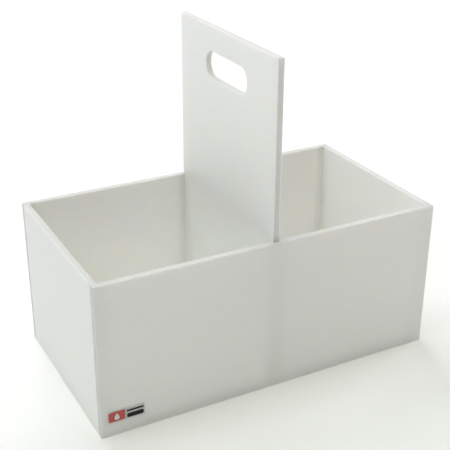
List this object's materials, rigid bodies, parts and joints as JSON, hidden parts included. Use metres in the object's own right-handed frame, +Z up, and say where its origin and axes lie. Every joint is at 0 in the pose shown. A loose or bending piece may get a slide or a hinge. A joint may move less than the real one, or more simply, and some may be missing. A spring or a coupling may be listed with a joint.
{
  "type": "cleaning caddy",
  "caption": "Open-topped plastic sheet tote with two compartments and a tall centre divider whose slot is the carry handle.",
  "frame": {"origin": "middle of the underside, on the surface that the caddy stands on", "axes": "+X along the caddy's length, -Y towards the front wall with the label, +Z up to the handle"},
  "size_m": [0.3556, 0.193, 0.324],
  "materials": {
    "sheet": "satin, slightly translucent white polyethylene sheet",
    "label": "printed film"
  },
  "bodies": {
    "root": {"base_panel": "sheet", "front_wall": "sheet", "back_wall": "sheet", "left_end": "sheet", "right_end": "sheet", "divider_handle": "sheet", "front_label": "label"}
  },
  "joints": []
}
